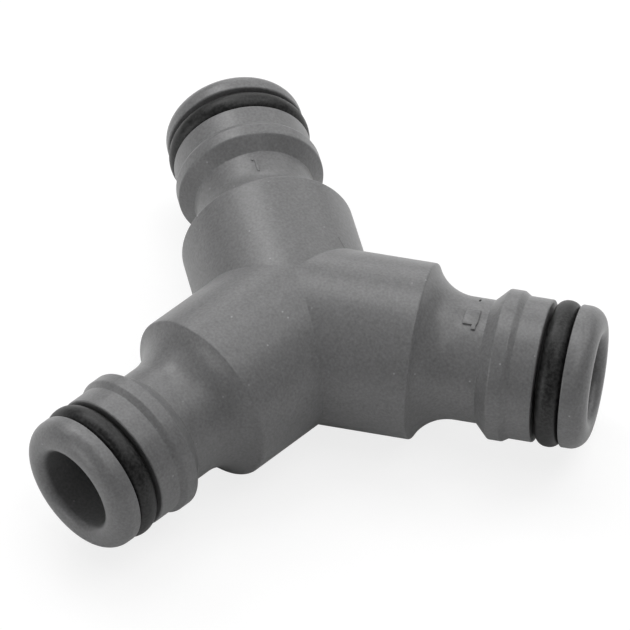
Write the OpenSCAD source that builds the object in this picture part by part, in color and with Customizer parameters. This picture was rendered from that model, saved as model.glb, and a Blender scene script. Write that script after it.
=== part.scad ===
// Three-way hose coupler: one moulded body with three plug ends, and a rubber ring in the groove of each.
// The stem points along -Y and the two branches lie either side of +Y. Each arm is a turned shape: a thick
// barrel, a waist that a hose connector's latch drops into, a collar, a seat, a groove and a rounded nose.
// All sizes are in millimetres. Places along an arm are measured from the middle, where the three axes cross.

/* [Layout] */
// Angle from +Y to each branch
branch_angle = 58; // [50:1:65]

/* [Barrel] */
// Diameter of the barrels that meet in the middle
barrel_d = 19.6; // [18:0.1:20.6]
// Distance from the middle to the shoulder at the end of a barrel
barrel_length = 14.4; // [13:0.1:20]
// Radius of the shoulder's rounded edge
shoulder_round = 0.3; // [0.1:0.05:0.6]

/* [Waist] */
// Diameter of the waist between shoulder and collar
waist_d = 13.7; // [12.6:0.1:14.2]
// Distance from the shoulder to the foot of the collar's ramp
waist_length = 7.1; // [6.5:0.1:9]
// Radius of the hollow flare that runs from the shoulder down to the waist
flare_radius = 5; // [4.5:0.1:5.5]

/* [Collar] */
// Diameter of the collar behind the seat
collar_d = 16.7; // [16.4:0.1:17.5]
// Width of the collar, between its ramp and its chamfer
collar_width = 1.5; // [1:0.1:2.5]
// Angle between the axis and the ramp that climbs from the waist to the collar
ramp_angle = 45; // [35:1:60]
// Length of the chamfer from the collar down to the seat
chamfer_length = 0.7; // [0.4:0.1:1.2]
// Radius of the collar's rounded edges
collar_round = 0.4; // [0.1:0.05:0.5]

/* [Seat and nose] */
// Diameter of the seat and of the nose, on either side of the groove
seat_d = 15.8; // [15.6:0.1:16]
// Length of the seat between the chamfer and the groove
seat_length = 2.7; // [1.5:0.1:4]
// Length of the nose between the groove and the tip
nose_length = 2.9; // [2.5:0.1:5]
// Radius of the nose's rounded outer edge
nose_round = 2; // [1:0.1:2]
// Radius of the groove's rounded edges
groove_round = 0.2; // [0.05:0.05:0.3]

/* [Bore] */
// Wall left between the floor of the stem's groove and its water passage
groove_wall = 0.78; // [0.7:0.02:1.2]
// How much narrower the branches' passages are, all round, so that they open into the side of the stem's
bore_step = 0.1; // [0.05:0.05:0.2]
// Radius of each mouth's rounded inner edge
mouth_round = 1.1; // [0.5:0.1:1.1]

/* [Rubber ring] */
// Thickness of the ring's round section
ring_section = 2.62; // [2.4:0.02:2.8]
// How far the ring stands out of the seat's surface
ring_proud = 0.22; // [0.1:0.02:0.4]
// Clearance between the ring and each wall of the groove
ring_side_gap = 0.22; // [0.1:0.02:0.5]
// Clearance between the ring and the floor of the groove
ring_floor_gap = 0.02; // [0.01:0.01:0.05]

/* [Hidden] */
$fn = 96;

// Directions of the three arms, anticlockwise from +X
stem_angle = -90;
right_angle = 90 - branch_angle;
left_angle = 90 + branch_angle;

barrel_r = barrel_d / 2;
waist_r = waist_d / 2;
collar_r = collar_d / 2;
seat_r = seat_d / 2;

// The ring lies midway between the groove's walls, and the groove is sized by the ring
ring_r = seat_r + ring_proud - ring_section / 2;
groove_width = ring_section + 2 * ring_side_gap;
groove_floor_r = ring_r - ring_section / 2 - ring_floor_gap;

// The groove is where the wall is thinnest, so the passages are as wide as it lets them be
stem_bore_r = groove_floor_r - groove_wall;
branch_bore_r = stem_bore_r - bore_step;

// The flare is part of a circle that touches the waist and passes through the shoulder's edge
flare_centre_r = waist_r + flare_radius;
flare_length = sqrt(pow(flare_radius, 2) - pow(flare_centre_r - barrel_r, 2));

// Places along an arm, each worked out from the one before it
shoulder = barrel_length;
flare_end = shoulder + flare_length;
ramp_start = shoulder + waist_length;
collar_start = ramp_start + (collar_r - waist_r) / tan(ramp_angle);
collar_end = collar_start + collar_width;
seat_start = collar_end + chamfer_length;
groove_start = seat_start + seat_length;
groove_end = groove_start + groove_width;
tip = groove_end + nose_length;

// How far a cutting shape reaches past the surface it cuts
spare = 1;

// Corners of an arm's half section as [radius, place along the arm], from the middle out to the tip
barrel_corner = [barrel_r, shoulder];
ramp_foot = [waist_r, ramp_start];
collar_corner_a = [collar_r, collar_start];
collar_corner_b = [collar_r, collar_end];
seat_foot = [seat_r, seat_start];
groove_corner_a = [seat_r, groove_start];
groove_foot_a = [groove_floor_r, groove_start];
groove_foot_b = [groove_floor_r, groove_end];
groove_corner_b = [seat_r, groove_end];
nose_corner = [seat_r, tip];

// Direction from one point to another, as a vector of length 1
function toward(from, to) = (to - from) / norm(to - from);

// What a rounding takes off a corner whose two sides run toward the points `before` and `after`
module rounding(before, corner, after, radius) {
    back = toward(corner, before);
    on = toward(corner, after);
    half_angle = acos(back * on) / 2;
    centre = corner + toward([0, 0], back + on) * radius / sin(half_angle);
    run = radius / tan(half_angle);
    difference() {
        polygon([
            centre,
            corner + back * run + toward(centre, corner + back * run) * spare,
            corner + toward(centre, corner) * 2 * spare,
            corner + on * run + toward(centre, corner + on * run) * spare
        ]);
        translate(centre) circle(radius);
    }
}

// The hollow of the flare, and what the rounding takes off the shoulder's edge beside it
module flare_hollow() {
    flare_centre = [flare_centre_r, flare_end];
    round_r = barrel_r - shoulder_round;
    round_reach = sqrt(pow(flare_radius + shoulder_round, 2) - pow(flare_centre_r - round_r, 2));
    round_centre = [round_r, flare_end - round_reach];
    translate(flare_centre) circle(flare_radius);
    difference() {
        polygon([round_centre, round_centre + [shoulder_round + spare, 0], flare_centre]);
        translate(round_centre) circle(shoulder_round);
    }
}

// Half section of one arm, solid, with every edge rounded
module arm_section() {
    difference() {
        polygon([
            [0, 0],
            [barrel_r, 0],
            barrel_corner,
            [waist_r, flare_end],
            ramp_foot,
            collar_corner_a,
            collar_corner_b,
            seat_foot,
            groove_corner_a,
            groove_foot_a,
            groove_foot_b,
            groove_corner_b,
            nose_corner,
            [0, tip]
        ]);
        flare_hollow();
        rounding(ramp_foot, collar_corner_a, collar_corner_b, collar_round);
        rounding(collar_corner_a, collar_corner_b, seat_foot, collar_round);
        rounding(seat_foot, groove_corner_a, groove_foot_a, groove_round);
        rounding(groove_foot_b, groove_corner_b, nose_corner, groove_round);
        rounding(groove_corner_b, nose_corner, [0, tip], nose_round);
    }
}

// Half section of a water passage of this radius, from the middle out through its rounded mouth
module passage_section(radius) {
    square([radius, tip + spare]);
    rounding([radius, 0], [radius, tip], nose_corner, mouth_round);
}

// Turns a half section about the axis of the arm that points in this direction
module turned(angle) {
    rotate([0, 0, angle]) rotate([0, 90, 0]) rotate_extrude() children();
}

// The stem's passage ends in a dome about the middle, and the two branch passages open into it
module body() {
    color("#6b6b6d") difference() {
        union() {
            turned(stem_angle) arm_section();
            turned(right_angle) arm_section();
            turned(left_angle) arm_section();
        }
        turned(stem_angle) passage_section(stem_bore_r);
        turned(right_angle) passage_section(branch_bore_r);
        turned(left_angle) passage_section(branch_bore_r);
        rotate([90, 0, 0]) sphere(stem_bore_r);
    }
}

// The rubber ring in the groove of the arm that points in this direction
module ring(angle) {
    color("#1c1c1d") turned(angle)
        translate([ring_r, (groove_start + groove_end) / 2]) circle(ring_section / 2);
}

module stem_ring() {
    ring(stem_angle);
}

module right_ring() {
    ring(right_angle);
}

module left_ring() {
    ring(left_angle);
}

body();
stem_ring();
right_ring();
left_ring();
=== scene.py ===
import math

import bmesh
import bpy
from mathutils import Matrix, Vector


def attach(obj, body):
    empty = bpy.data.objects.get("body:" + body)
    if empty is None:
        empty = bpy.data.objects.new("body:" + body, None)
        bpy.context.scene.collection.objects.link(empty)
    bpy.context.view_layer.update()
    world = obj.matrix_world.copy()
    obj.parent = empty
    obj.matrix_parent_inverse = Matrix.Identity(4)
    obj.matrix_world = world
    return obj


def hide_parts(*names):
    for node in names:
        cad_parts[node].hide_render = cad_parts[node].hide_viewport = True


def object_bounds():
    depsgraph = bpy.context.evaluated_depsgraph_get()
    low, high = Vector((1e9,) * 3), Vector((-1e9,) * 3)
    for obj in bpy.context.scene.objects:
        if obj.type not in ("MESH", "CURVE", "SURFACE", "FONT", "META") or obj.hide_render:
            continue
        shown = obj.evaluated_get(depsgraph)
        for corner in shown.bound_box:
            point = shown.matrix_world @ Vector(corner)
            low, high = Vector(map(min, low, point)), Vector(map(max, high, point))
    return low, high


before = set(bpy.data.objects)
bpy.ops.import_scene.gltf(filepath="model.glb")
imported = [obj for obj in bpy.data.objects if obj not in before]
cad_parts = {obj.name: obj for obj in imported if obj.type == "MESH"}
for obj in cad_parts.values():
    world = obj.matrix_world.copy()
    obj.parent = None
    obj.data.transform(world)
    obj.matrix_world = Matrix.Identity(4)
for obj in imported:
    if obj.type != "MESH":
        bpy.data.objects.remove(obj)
solid_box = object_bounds()

# Moulded body
# One moulding in semi-matt grey plastic: three thick barrels that meet in a Y, each with a waist, a collar,
# a seat, a ring groove and a rounded nose. Every arm is turned from one half section, cut to a mitre against
# its neighbours, and joined to them.
MM = 0.001
BRANCH_ANGLE = math.radians(58)
STEM = -math.pi / 2
RIGHT = math.pi / 2 - BRANCH_ANGLE
LEFT = math.pi / 2 + BRANCH_ANGLE
BARREL_R = 9.8 * MM
SHOULDER = 14.4 * MM
SHOULDER_ROUND = 0.3 * MM
WAIST_R = 6.85 * MM
FLARE_R = 5 * MM
RAMP_START = SHOULDER + 7.1 * MM
COLLAR_R = 8.35 * MM
COLLAR_START = RAMP_START + COLLAR_R - WAIST_R
COLLAR_END = COLLAR_START + 1.5 * MM
COLLAR_ROUND = 0.4 * MM
SEAT_START = COLLAR_END + 0.7 * MM
SEAT_R = 7.9 * MM
GROOVE_START = SEAT_START + 2.7 * MM
RING_SECTION = 2.62 * MM
RING_PROUD = 0.22 * MM
RING_SIDE_GAP = 0.22 * MM
RING_FLOOR_GAP = 0.02 * MM
GROOVE_END = GROOVE_START + RING_SECTION + 2 * RING_SIDE_GAP
GROOVE_FLOOR_R = SEAT_R + RING_PROUD - RING_SECTION - RING_FLOOR_GAP
GROOVE_ROUND = 0.2 * MM
FOOT_ROUND = 0.12 * MM
TIP = GROOVE_END + 2.9 * MM
NOSE_ROUND = 2 * MM
MOUTH_ROUND = 1.1 * MM
STEM_BORE_R = GROOVE_FLOOR_R - 0.78 * MM
BRANCH_BORE_R = STEM_BORE_R - 0.1 * MM
FACETS_ROUND = 192

# The mitre's slant fades out along this length of an arm, and its crease is softened over this width
MITRE_REACH = 12 * MM
CREASE_WIDTH = 0.1 * MM

# Rows of points beside a mitre, in crease widths, and along a passage, in millimetres from the middle
MITRE_ROWS = (0, 0.2, 0.4, 0.7, 1.1, 1.6)
PASSAGE_ROWS = (24, 18, 12, 8)

# Every passage is as wide as the stem's where it comes this near to the middle
MEETING_REACH = 3 * MM

# Points that hold the shading lie this near to the ends of a long side
HOLD = 0.15 * MM

# Points of neighbouring arms that lie this near to each other are joined
SEAM_GAP = 0.001 * MM


def arc(centre, radius, start, end, steps):
    """Points on an arc of a half section, given as (place along the arm, radius). Angles are in radians."""
    return [(centre[0] + radius * math.cos(start + (end - start) * i / steps),
             centre[1] + radius * math.sin(start + (end - start) * i / steps)) for i in range(steps + 1)]


def rounded(before, corner, after, radius, steps):
    """The arc that rounds a corner of a half section, from the side of `before` to the side of `after`."""
    back = (Vector(before) - Vector(corner)).normalized()
    on = (Vector(after) - Vector(corner)).normalized()
    half = back.angle(on) / 2
    centre = Vector(corner) + (back + on).normalized() * radius / math.sin(half)
    first = Vector(corner) + back * radius / math.tan(half) - centre
    last = Vector(corner) + on * radius / math.tan(half) - centre
    start = math.atan2(first.y, first.x)
    turn = math.remainder(math.atan2(last.y, last.x) - start, 2 * math.pi)
    return arc(centre, radius, start, start + turn, steps)


def held(points):
    """The same outline with a point near each end of its long sides, so that smooth shading stays true."""
    out = [points[0]]
    for a, b in zip(points, points[1:]):
        start, end = Vector(a), Vector(b)
        if (end - start).length > 4 * HOLD:
            along = (end - start).normalized() * HOLD
            out += [tuple(start + along), tuple(end - along)]
        out.append(tuple(end))
    return out


def arm_section(bore_r):
    """Half section of an arm's skin: outside from the mitre to the tip, then back through the passage."""
    flare_centre_r = WAIST_R + FLARE_R
    flare_end = SHOULDER + math.sqrt(FLARE_R ** 2 - (flare_centre_r - BARREL_R) ** 2)
    edge_r = BARREL_R - SHOULDER_ROUND
    edge_place = flare_end - math.sqrt((FLARE_R + SHOULDER_ROUND) ** 2 - (flare_centre_r - edge_r) ** 2)
    to_flare = math.atan2(flare_centre_r - edge_r, flare_end - edge_place)
    ramp_foot = (RAMP_START, WAIST_R)
    collar_a = (COLLAR_START, COLLAR_R)
    collar_b = (COLLAR_END, COLLAR_R)
    seat_foot = (SEAT_START, SEAT_R)
    groove_a = (GROOVE_START, SEAT_R)
    floor_a = (GROOVE_START, GROOVE_FLOOR_R)
    floor_b = (GROOVE_END, GROOVE_FLOOR_R)
    groove_b = (GROOVE_END, SEAT_R)
    nose = (TIP, SEAT_R)
    mouth = (TIP, bore_r)
    skin = (
        [(CREASE_WIDTH * row, BARREL_R) for row in MITRE_ROWS]
        + arc((edge_place, edge_r), SHOULDER_ROUND, math.pi / 2, to_flare, steps=8)
        + arc((flare_end, flare_centre_r), FLARE_R, to_flare + math.pi, 1.5 * math.pi, steps=20)
        + rounded((SHOULDER, WAIST_R), ramp_foot, collar_a, FOOT_ROUND, steps=3)
        + rounded(ramp_foot, collar_a, collar_b, COLLAR_ROUND, steps=6)
        + rounded(collar_a, collar_b, seat_foot, COLLAR_ROUND, steps=5)
        + rounded(collar_b, seat_foot, groove_a, FOOT_ROUND, steps=3)
        + rounded(seat_foot, groove_a, floor_a, GROOVE_ROUND, steps=6)
        + rounded(groove_a, floor_a, floor_b, FOOT_ROUND, steps=4)
        + rounded(floor_a, floor_b, groove_b, FOOT_ROUND, steps=4)
        + rounded(floor_b, groove_b, nose, GROOVE_ROUND, steps=6)
        + rounded(groove_b, nose, mouth, NOSE_ROUND, steps=20)
        + rounded(nose, mouth, (0, bore_r), MOUTH_ROUND, steps=14))
    passage = [(row * MM, bore_r) for row in PASSAGE_ROWS]
    return held(skin) + passage + [(MEETING_REACH, STEM_BORE_R), (0, STEM_BORE_R)]


class Wire:
    """A socket of a node tree. Arithmetic on it adds Math nodes, and `node` adds any other node."""

    def __init__(self, tree, socket=None):
        self.tree = tree
        self.socket = socket

    def node(self, kind, settings=None, inputs=None, output=0):
        made = self.tree.nodes.new(kind)
        for name, value in (settings or {}).items():
            setattr(made, name, value)
        for key, value in (inputs or {}).items():
            if isinstance(value, Wire):
                self.tree.links.new(value.socket, made.inputs[key])
            else:
                made.inputs[key].default_value = value
        return Wire(self.tree, made.outputs[output])

    def maths(self, operation, *values):
        return self.node("ShaderNodeMath", {"operation": operation}, dict(enumerate(values)))

    def vector(self, operation, *values):
        output = "Value" if operation in ("DISTANCE", "DOT_PRODUCT") else "Vector"
        return self.node("ShaderNodeVectorMath", {"operation": operation}, dict(enumerate(values)), output)

    def split(self):
        parts = self.tree.nodes.new("ShaderNodeSeparateXYZ")
        self.tree.links.new(self.socket, parts.inputs["Vector"])
        return [Wire(self.tree, part) for part in parts.outputs]

    def __add__(self, other):
        return self.maths("ADD", self, other)

    def __radd__(self, other):
        return self.maths("ADD", other, self)

    def __sub__(self, other):
        return self.maths("SUBTRACT", self, other)

    def __rsub__(self, other):
        return self.maths("SUBTRACT", other, self)

    def __mul__(self, other):
        return self.maths("MULTIPLY", self, other)

    def __rmul__(self, other):
        return self.maths("MULTIPLY", other, self)

    def __truediv__(self, other):
        return self.maths("DIVIDE", self, other)

    def __pow__(self, other):
        return self.maths("POWER", self, other)

    def __abs__(self):
        return self.maths("ABSOLUTE", self)

    def at_least(self, other):
        return self.maths("MAXIMUM", self, other)

    def at_most(self, other):
        return self.maths("MINIMUM", self, other)


def new_tree(name, sockets):
    """A geometry node tree with these named inputs, and a dictionary of wires from them."""
    tree = bpy.data.node_groups.new(name, "GeometryNodeTree")
    for socket_name, kind in sockets.items():
        tree.interface.new_socket(socket_name, in_out="INPUT", socket_type=kind)
    tree.interface.new_socket("Geometry", in_out="OUTPUT", socket_type="NodeSocketGeometry")
    source = tree.nodes.new("NodeGroupInput")
    return tree, {socket_name: Wire(tree, source.outputs[socket_name]) for socket_name in sockets}


def end_tree(tree, result):
    sink = tree.nodes.new("NodeGroupOutput")
    tree.links.new(result.socket, sink.inputs["Geometry"])


def turning_tree():
    """Turns a stretch of the section's points about an arm's axis, mitres it and swings it to its direction.

    The crease at a mitre is softened over a narrow width on each side, by less and less towards the top and
    the bottom, where the neighbouring barrels are tangent.
    """
    tree, given = new_tree("Turned arm", {
        "Geometry": "NodeSocketGeometry", "First point": "NodeSocketInt", "Points": "NodeSocketInt",
        "Facets": "NodeSocketInt", "Direction": "NodeSocketFloat", "Left mitre": "NodeSocketFloat",
        "Right mitre": "NodeSocketFloat", "Mitre reach": "NodeSocketFloat",
        "Crease width": "NodeSocketFloat"})
    add = Wire(tree)

    # A grid about the origin, with a row for each point of the section and a column for each facet
    grid = add.node("GeometryNodeMeshGrid", {}, {
        "Size X": given["Points"] - 1, "Size Y": given["Facets"],
        "Vertices X": given["Points"], "Vertices Y": given["Facets"] + 1}, "Mesh")
    grid_x, grid_y, _ = add.node("GeometryNodeInputPosition").split()
    row = add.maths("ROUND", grid_x + (given["Points"] - 1) * 0.5)
    turn = 2 * math.pi * grid_y / given["Facets"]
    sampling = {"data_type": "FLOAT_VECTOR", "domain": "POINT", "clamp": True}
    point = add.node("GeometryNodeSampleIndex", sampling, {
        "Geometry": given["Geometry"], "Value": add.node("GeometryNodeInputPosition"),
        "Index": row + given["First point"]})
    place, radius, _ = point.split()

    # The mitre on either side of the arm slants the place of each point that lies off its top and bottom
    sine = add.maths("SINE", turn)
    cosine = add.maths("COSINE", turn)
    to_left = add.maths("GREATER_THAN", sine, 0)
    side = to_left * 2 - 1
    mitre = to_left * given["Left mitre"] + (1 - to_left) * given["Right mitre"]
    mitre_sine = add.maths("SINE", mitre)
    mitre_cosine = add.maths("COSINE", mitre)
    lateral = radius * abs(sine)
    start = lateral * mitre_cosine / mitre_sine
    along = place + start * (1 - place / given["Mitre reach"]).at_least(0)

    # `across` and `within` are the parts of the normal across the mitre's plane and in it. Points near that
    # plane are lifted along the part in it, which softens the crease.
    across = abs(sine) * mitre_cosine
    within = (1 - across * across) ** 0.5
    off_plane = along * mitre_sine - lateral * mitre_cosine
    near = (given["Crease width"] - off_plane).at_least(0)
    lift = near * near / given["Crease width"] * 0.5 * across / within
    x = along + lift * across * mitre_sine / within
    y = side * (lateral + lift * (abs(sine) - across * mitre_cosine) / within)
    z = (radius + lift / within) * cosine
    placed = add.node("GeometryNodeSetPosition", {}, {
        "Geometry": grid, "Position": add.node("ShaderNodeCombineXYZ", {}, {"X": x, "Y": y, "Z": z})})
    swung = add.node("GeometryNodeTransform", {}, {
        "Geometry": placed, "Rotation": add.node("ShaderNodeCombineXYZ", {}, {"Z": given["Direction"]})})
    end_tree(tree, swung)
    return tree


def body_tree(turning, points_each, material):
    """Three turned arms, joined along their mitres into one closed, smooth mesh of one material."""
    tree, given = new_tree("Moulded body", {
        "Geometry": "NodeSocketGeometry", "Branch angle": "NodeSocketFloat", "Facets": "NodeSocketInt",
        "Mitre reach": "NodeSocketFloat", "Crease width": "NodeSocketFloat"})
    add = Wire(tree)
    between_branches = given["Branch angle"]
    beside_stem = (math.pi - given["Branch angle"]) * 0.5
    joined = tree.nodes.new("GeometryNodeJoinGeometry")
    for direction, left, right, first in (
            (STEM, beside_stem, beside_stem, 0),
            (math.pi / 2 - given["Branch angle"], between_branches, beside_stem, points_each),
            (math.pi / 2 + given["Branch angle"], beside_stem, between_branches, points_each)):
        arm = add.node("GeometryNodeGroup", {"node_tree": turning}, {
            "Geometry": given["Geometry"], "First point": first, "Points": points_each,
            "Facets": given["Facets"], "Direction": direction, "Left mitre": left, "Right mitre": right,
            "Mitre reach": given["Mitre reach"], "Crease width": given["Crease width"]})
        tree.links.new(arm.socket, joined.inputs[0])
    closed = add.node("GeometryNodeMergeByDistance", {}, {
        "Geometry": Wire(tree, joined.outputs[0]), "Distance": SEAM_GAP})
    smooth = add.node("GeometryNodeSetShadeSmooth", {}, {"Geometry": closed})
    real = add.node("GeometryNodeRealizeInstances", {}, {"Geometry": smooth})
    end_tree(tree, add.node("GeometryNodeSetMaterial", {}, {"Geometry": real, "Material": material}))
    return tree


def new_object(name, data):
    """An object of this name in the scene, at the origin."""
    made = bpy.data.objects.new(name, data)
    bpy.context.scene.collection.objects.link(made)
    return made


def plain_mesh(name, points, tree, values):
    """Runs a geometry node tree on a row of section points and keeps the result as a plain object."""
    source = bpy.data.meshes.new(name + " section")
    source.from_pydata([(place, radius, 0) for place, radius in points], [], [])
    holder = new_object(name + " section", source)
    modifier = holder.modifiers.new(name, "NODES")
    modifier.node_group = tree
    for item in tree.interface.items_tree:
        if item.in_out == "INPUT" and item.name in values:
            modifier[item.identifier] = values[item.name]
    graph = bpy.context.evaluated_depsgraph_get()
    mesh = bpy.data.meshes.new_from_object(holder.evaluated_get(graph), depsgraph=graph)
    holder.modifiers.remove(modifier)
    bpy.data.objects.remove(holder)
    return new_object(name, mesh)


def on_arm(direction, place, radius, turn):
    """The point this far along an arm and from its axis, turned this far to the left from the arm's top."""
    axis = Vector((math.cos(direction), math.sin(direction), 0))
    to_left = Vector((-axis.y, axis.x, 0))
    return axis * place + to_left * radius * math.sin(turn) + Vector((0, 0, radius * math.cos(turn)))


PLASTIC_GREY = 0.155
BLUE_TINT = 1.01
CLOUD_CONTRAST = 0.016
MOTTLE_CONTRAST = 0.03
GRAIN_CONTRAST = 0.13
PLASTIC_ROUGHNESS = 0.37
CLOUD_ROUGHNESS = 0.1
GRAIN_DEPTH = 0.012 * MM
PIT_SHARE = 0.8

# Pale dust: the specks' size as a share of their spacing, and how much they lighten the plastic
DUST_SIZE = 0.07
DUST_LIGHT = 0.2

# A dark speck on the right neck, and a faint line that the mould dragged on the left barrel
SPECK = (on_arm(RIGHT, 20 * MM, WAIST_R, math.radians(26.5)),
         on_arm(RIGHT, 20 * MM, WAIST_R, math.radians(30.5)))
SPECK_HALF_WIDTH = 0.13 * MM
SPECK_DARKNESS = 0.95
SPECK_ROUGHNESS = 0.6
DRAG_LINE = (on_arm(LEFT, 5.6 * MM, BARREL_R, math.radians(-39)),
             on_arm(LEFT, 4 * MM, BARREL_R, math.radians(-41.5)))
DRAG_HALF_WIDTH = 0.14 * MM
DRAG_DARKNESS = 0.4


def new_material(name):
    """An empty material, and a wire of its tree to start from."""
    material = bpy.data.materials.new(name)
    material.use_nodes = True
    material.node_tree.nodes.clear()
    return material, Wire(material.node_tree)


def end_material(material, shader):
    sink = material.node_tree.nodes.new("ShaderNodeOutputMaterial")
    material.node_tree.links.new(shader.socket, sink.inputs["Surface"])


def noise(here, scale, detail):
    """A cloudy pattern that varies evenly about 0. Its scale is in clouds to a metre."""
    inputs = {"Vector": here, "Scale": scale, "Detail": detail}
    return here.node("ShaderNodeTexNoise", {}, inputs, "Fac") - 0.5


def line_mask(here, line, half_width, sharpness):
    """1 on the straight line between two points and 0 beyond half its width. Sharpness narrows the fade."""
    start, end = line
    span = end - start
    offset = here.vector("SUBTRACT", here, start)
    share = here.vector("DOT_PRODUCT", offset, span / span.length_squared).at_least(0).at_most(1)
    nearest = here.node("ShaderNodeVectorMath", {"operation": "SCALE"}, {"Vector": span, "Scale": share})
    inside = (1 - here.vector("DISTANCE", offset, nearest) / half_width).at_least(0)
    return (inside * sharpness).at_most(1)


def moulded_plastic():
    """Through-coloured grey plastic from a lightly spark-eroded mould, with a few grains of dust."""
    material, add = new_material("moulded grey plastic")
    here = add.node("ShaderNodeTexCoord", output="Object")
    cloud = noise(here, scale=160.0, detail=3.0)
    mottle = noise(here, scale=900.0, detail=2.0)
    grain = noise(here, scale=3400.0, detail=3.0)
    pits = noise(here, scale=2200.0, detail=2.0)
    to_dust = add.node("ShaderNodeTexVoronoi", {}, {"Vector": here, "Scale": 450.0}, "Distance")
    dust = (1 - to_dust / DUST_SIZE).at_least(0)
    speck = line_mask(here, SPECK, SPECK_HALF_WIDTH, sharpness=4)
    drag_line = line_mask(here, DRAG_LINE, DRAG_HALF_WIDTH, sharpness=2)
    clean = (1 - speck * SPECK_DARKNESS) * (1 - drag_line * DRAG_DARKNESS)
    uneven = cloud * CLOUD_CONTRAST + mottle * MOTTLE_CONTRAST + grain * GRAIN_CONTRAST
    shade = (PLASTIC_GREY + uneven) * clean + dust * DUST_LIGHT
    colour = add.node("ShaderNodeCombineColor", {}, {0: shade, 1: shade, 2: shade * BLUE_TINT})
    bump = add.node("ShaderNodeBump", {}, {
        "Strength": 0.5, "Distance": GRAIN_DEPTH, "Height": grain + pits * PIT_SHARE})
    roughness = PLASTIC_ROUGHNESS + cloud * CLOUD_ROUGHNESS + speck * SPECK_ROUGHNESS
    end_material(material, add.node("ShaderNodeBsdfPrincipled", {}, {
        "Base Color": colour, "Roughness": roughness, "Normal": bump, "IOR": 1.5}))
    return material


plastic = moulded_plastic()
stem_section = arm_section(STEM_BORE_R)
branch_section = arm_section(BRANCH_BORE_R)
body = plain_mesh("moulded_body", stem_section + branch_section,
                  body_tree(turning_tree(), len(stem_section), plastic),
                  {"Branch angle": BRANCH_ANGLE, "Facets": FACETS_ROUND, "Mitre reach": MITRE_REACH,
                   "Crease width": CREASE_WIDTH})
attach(body, "root")
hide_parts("body")

# Mould marks
# Marks that the mould leaves raised on the tops of the branches' necks: its cavity number on the left neck
# and a plain pad with a stepped foot on the right one. They are part of the moulding and of its plastic.

# Heights, depth below the surface, width of the soft edges and of the strips that bend, in millimetres
NUMBER_HEIGHT = 0.12
PAD_HEIGHT = 0.22
MARK_SUNK = 0.1
MARK_EDGE = 0.05
MARK_STRIP = 0.25

# Outlines in millimetres, as (place along the arm, way round the neck to the left of its top)
CAVITY_ONE = ((18.4, 0), (18.6, -0.15), (20.5, -0.17), (20.62, 0),
              (20.45, 0.5), (20.2, 0.44), (20.28, 0.16), (18.6, 0.14))
STEPPED_PAD = ((19, 0.9), (19, -1.3), (20.02, -1.3), (20.02, -1.85),
               (20.5, -1.85), (20.5, -1.35), (20.62, -0.9), (20.62, 0.9))


def raised_mark(name, outline, height, direction):
    """A raised shape with softened edges, bent round a neck. It is built flat, in millimetres."""
    mark = bmesh.new()
    mark.faces.new([mark.verts.new((place, way, -MARK_SUNK)) for place, way in outline])
    grown = bmesh.ops.extrude_face_region(mark, geom=mark.faces[:])["geom"]
    crown = [part for part in grown if isinstance(part, bmesh.types.BMVert)]
    bmesh.ops.translate(mark, verts=crown, vec=(0, 0, MARK_SUNK + height))
    rim = [edge for edge in mark.edges if all(vertex in crown for vertex in edge.verts)]
    bmesh.ops.bevel(mark, geom=rim, offset=MARK_EDGE, segments=2, profile=0.5, affect="EDGES")

    # Cut into strips so that it can bend. A corner this near to a cut lies on it, which leaves no slivers.
    strips = math.ceil(max(abs(way) for _, way in outline) / MARK_STRIP)
    for strip in range(-strips, strips + 1):
        bmesh.ops.bisect_plane(mark, geom=mark.verts[:] + mark.edges[:] + mark.faces[:],
                               plane_co=(0, strip * MARK_STRIP, 0), plane_no=(0, 1, 0), dist=MARK_EDGE / 2)
    for vertex in mark.verts:
        place, way, above = vertex.co
        vertex.co = on_arm(direction, place * MM, WAIST_R + above * MM, way * MM / WAIST_R)
    mesh = bpy.data.meshes.new(name)
    mark.to_mesh(mesh)
    mark.free()
    mesh.shade_smooth()
    mesh.set_sharp_from_angle(angle=math.radians(50))
    mesh.materials.append(plastic)
    made = new_object(name, mesh)
    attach(made, "root")


raised_mark("cavity_number", CAVITY_ONE, NUMBER_HEIGHT, LEFT)
raised_mark("stepped_pad", STEPPED_PAD, PAD_HEIGHT, RIGHT)

# Rubber rings
# Black rubber O-rings, one stretched into the groove of each plug end, which flattens it a little. Each has
# slid to one wall of its groove. They stand slightly proud of the seat and seal against the socket that
# slides over them.
GROOVE_MIDDLE = (GROOVE_START + GROOVE_END) / 2
RING_HALF_HEIGHT = RING_SECTION / 2
RING_HALF_WIDTH = 1.38 * MM
RING_CENTRE_R = SEAT_R + RING_PROUD - RING_HALF_HEIGHT
RING_SLIDE = 0.13 * MM
RING_FACETS = 160
SECTION_FACETS = 40
RUBBER_GREY = 0.009
BLOOM_CONTRAST = 0.014
RUBBER_GRAIN_CONTRAST = 0.07
RUBBER_ROUGHNESS = 0.44
BLOOM_ROUGHNESS = 0.2
RUBBER_GRAIN_ROUGHNESS = 0.3
RUBBER_GRAIN_DEPTH = 0.02 * MM

# How full the corners of a ring's section are. At 2 it would be a plain oval.
RING_FULLNESS = 2.15


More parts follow.
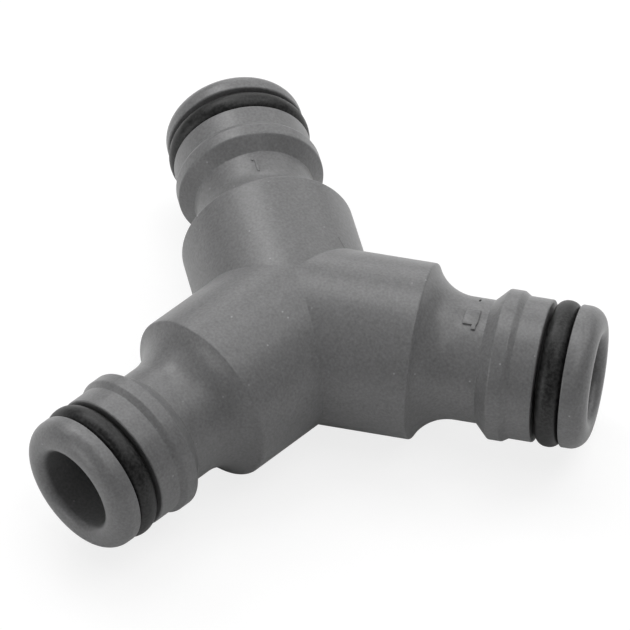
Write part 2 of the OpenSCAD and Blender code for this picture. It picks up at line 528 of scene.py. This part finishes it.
def black_rubber():
    """Matt black rubber with a faint bloom and a coarse grain."""
    material, add = new_material("black rubber")
    here = add.node("ShaderNodeTexCoord", output="Object")
    bloom = noise(here, scale=420.0, detail=4.0)
    grain = noise(here, scale=3000.0, detail=2.0)
    shade = (RUBBER_GREY + bloom * BLOOM_CONTRAST + grain * RUBBER_GRAIN_CONTRAST).at_least(0)
    colour = add.node("ShaderNodeCombineColor", {}, {0: shade, 1: shade, 2: shade})
    bump = add.node("ShaderNodeBump", {}, {
        "Strength": 0.5, "Distance": RUBBER_GRAIN_DEPTH, "Height": grain})
    roughness = RUBBER_ROUGHNESS + bloom * BLOOM_ROUGHNESS + grain * RUBBER_GRAIN_ROUGHNESS
    end_material(material, add.node("ShaderNodeBsdfPrincipled", {}, {
        "Base Color": colour, "Roughness": roughness, "Normal": bump, "IOR": 1.42}))
    return material


rubber = black_rubber()


def fuller(value):
    """A sine or cosine drawn towards 1 or -1, which fills the corners of an oval."""
    return math.copysign(abs(value) ** (2 / RING_FULLNESS), value)


def squashed_ring(name, node, direction, place):
    """A ring of oval section round an arm, in place of the solid ring of a node."""
    section = []
    for step in range(SECTION_FACETS):
        turn = 2 * math.pi * step / SECTION_FACETS
        section.append((place + fuller(math.cos(turn)) * RING_HALF_WIDTH,
                        RING_CENTRE_R + fuller(math.sin(turn)) * RING_HALF_HEIGHT))
    points = [on_arm(direction, along, radius, 2 * math.pi * facet / RING_FACETS)
              for facet in range(RING_FACETS) for along, radius in section]
    faces = []
    for facet in range(RING_FACETS):
        here = facet * SECTION_FACETS
        there = (facet + 1) % RING_FACETS * SECTION_FACETS
        for step in range(SECTION_FACETS):
            after = (step + 1) % SECTION_FACETS
            faces.append((there + step, there + after, here + after, here + step))
    mesh = bpy.data.meshes.new(name)
    mesh.from_pydata(points, [], faces)
    mesh.shade_smooth()
    mesh.materials.append(rubber)
    made = new_object(name, mesh)
    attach(made, "root")
    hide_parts(node)


squashed_ring("stem_seal", "stem_ring", STEM, GROOVE_MIDDLE + RING_SLIDE)
squashed_ring("right_seal", "right_ring", RIGHT, GROOVE_MIDDLE + RING_SLIDE)
squashed_ring("left_seal", "left_ring", LEFT, GROOVE_MIDDLE - RING_SLIDE)

# Floor
# A plain white table top under the part. The camera sees it brought up to white, with a faint shadow of the
# part, and the part mirrors it as white paper with its full shadow.
FLOOR_Z = solid_box[0][2]
FLOOR_REACH = 2
TABLE_GREY = 0.75
MIRRORED_WHITE = 1.0
SHADOW_SHARE = 0.25
SEEN_GLOW = 0.8


def white_paper():
    """White paper, as it lights the part, as the part mirrors it and as the camera sees it."""
    material, add = new_material("white paper")
    table, mirrored, shaded = [add.node("ShaderNodeBsdfDiffuse", {}, {"Color": (level, level, level, 1)})
                               for level in (TABLE_GREY, MIRRORED_WHITE, SHADOW_SHARE)]
    glow = add.node("ShaderNodeEmission", {}, {"Color": (1, 1, 1, 1), "Strength": SEEN_GLOW})
    seen = add.node("ShaderNodeAddShader", {}, {0: shaded, 1: glow})
    path = material.node_tree.nodes.new("ShaderNodeLightPath")
    camera_ray, glossy_ray, clear_ray = [
        Wire(material.node_tree, path.outputs[kind])
        for kind in ("Is Camera Ray", "Is Glossy Ray", "Is Transmission Ray")]
    in_gloss = glossy_ray.at_least(clear_ray)
    unseen = add.node("ShaderNodeMixShader", {}, {0: in_gloss, 1: table, 2: mirrored})
    end_material(material, add.node("ShaderNodeMixShader", {}, {0: camera_ray, 1: unseen, 2: seen}))
    return material


floor_mesh = bpy.data.meshes.new("floor")
floor_mesh.from_pydata([(x * FLOOR_REACH, y * FLOOR_REACH, FLOOR_Z)
                        for x, y in ((-1, -1), (1, -1), (1, 1), (-1, 1))], [], [(0, 1, 2, 3)])
floor_mesh.materials.append(white_paper())
new_object("floor", floor_mesh)

# Light
# Soft square panels all round and the plain light of a pale room. The strongest panel stands high behind the
# part, as the camera sees it, and the smallest one, to its left, gives the narrowest sheen.
PANEL_DISTANCE = 0.6
ROOM_LIGHT = 0.22


def seen_from(azimuth, elevation):
    """The way from the part to what looks at it, by angles in degrees. Azimuth 0 is in front of the stem."""
    turn = math.radians(azimuth)
    rise = math.radians(elevation)
    return Vector((math.sin(turn) * math.cos(rise), -math.cos(turn) * math.cos(rise), math.sin(rise)))


def panel(name, azimuth, elevation, size, power):
    """A square lamp that faces the part, with its size in metres and its power in watts."""
    lamp = bpy.data.lights.new(name, "AREA")
    lamp.size = size
    lamp.energy = power
    way = seen_from(azimuth, elevation)
    made = new_object(name, lamp)
    made.location = way * PANEL_DISTANCE
    made.rotation_euler = way.to_track_quat("Z", "Y").to_euler()


panel("high back panel", azimuth=226, elevation=68, size=0.3, power=0.85)
panel("low back panel", azimuth=226, elevation=22, size=0.3, power=0.46)
panel("left panel", azimuth=256, elevation=45, size=0.22, power=0.72)
panel("front left panel", azimuth=286, elevation=40, size=0.25, power=0.25)
panel("right panel", azimuth=166, elevation=45, size=0.3, power=0.66)
panel("low right panel", azimuth=196, elevation=22, size=0.3, power=0.27)
panel("front panel", azimuth=106, elevation=68, size=0.35, power=0.72)
panel("stem panel", azimuth=346, elevation=16, size=0.3, power=0.75)
world = bpy.data.worlds.new("pale room")
world.use_nodes = True
room = world.node_tree.nodes["Background"]
room.inputs["Color"].default_value = (1, 1, 1, 1)
room.inputs["Strength"].default_value = ROOM_LIGHT
bpy.context.scene.world = world
bpy.context.scene.view_settings.view_transform = "Standard"

# Camera
# A long lens that looks down at the part from the right of its stem. Its place and its lens were fitted to
# the outline in the photograph, whose pixels give the scale and where the middle of the part falls.
PHOTO_WIDTH = 630
MIDDLE_X = 295.82
MIDDLE_Y = 330.42
PIXELS_PER_METRE = 9088
AZIMUTH = 46.18
ELEVATION = 46.29
ROLL = -1.04
DISTANCE = 0.677
SENSOR_WIDTH = 36

camera = bpy.data.cameras.new("camera")
camera.sensor_width = SENSOR_WIDTH
camera.lens = SENSOR_WIDTH * PIXELS_PER_METRE * DISTANCE / PHOTO_WIDTH
camera.shift_x = (PHOTO_WIDTH / 2 - MIDDLE_X) / PHOTO_WIDTH
camera.shift_y = (MIDDLE_Y - PHOTO_WIDTH / 2) / PHOTO_WIDTH
camera.clip_start = 0.01
back = seen_from(AZIMUTH, ELEVATION)
turn = math.radians(AZIMUTH)
roll = math.radians(ROLL)
level = Vector((math.cos(turn), math.sin(turn), 0))
upright = back.cross(level)
right = level * math.cos(roll) + upright * math.sin(roll)
up = upright * math.cos(roll) - level * math.sin(roll)
viewer = new_object("camera", camera)
viewer.matrix_world = Matrix.Translation(back * DISTANCE) @ Matrix((right, up, back)).transposed().to_4x4()
bpy.context.scene.camera = viewer
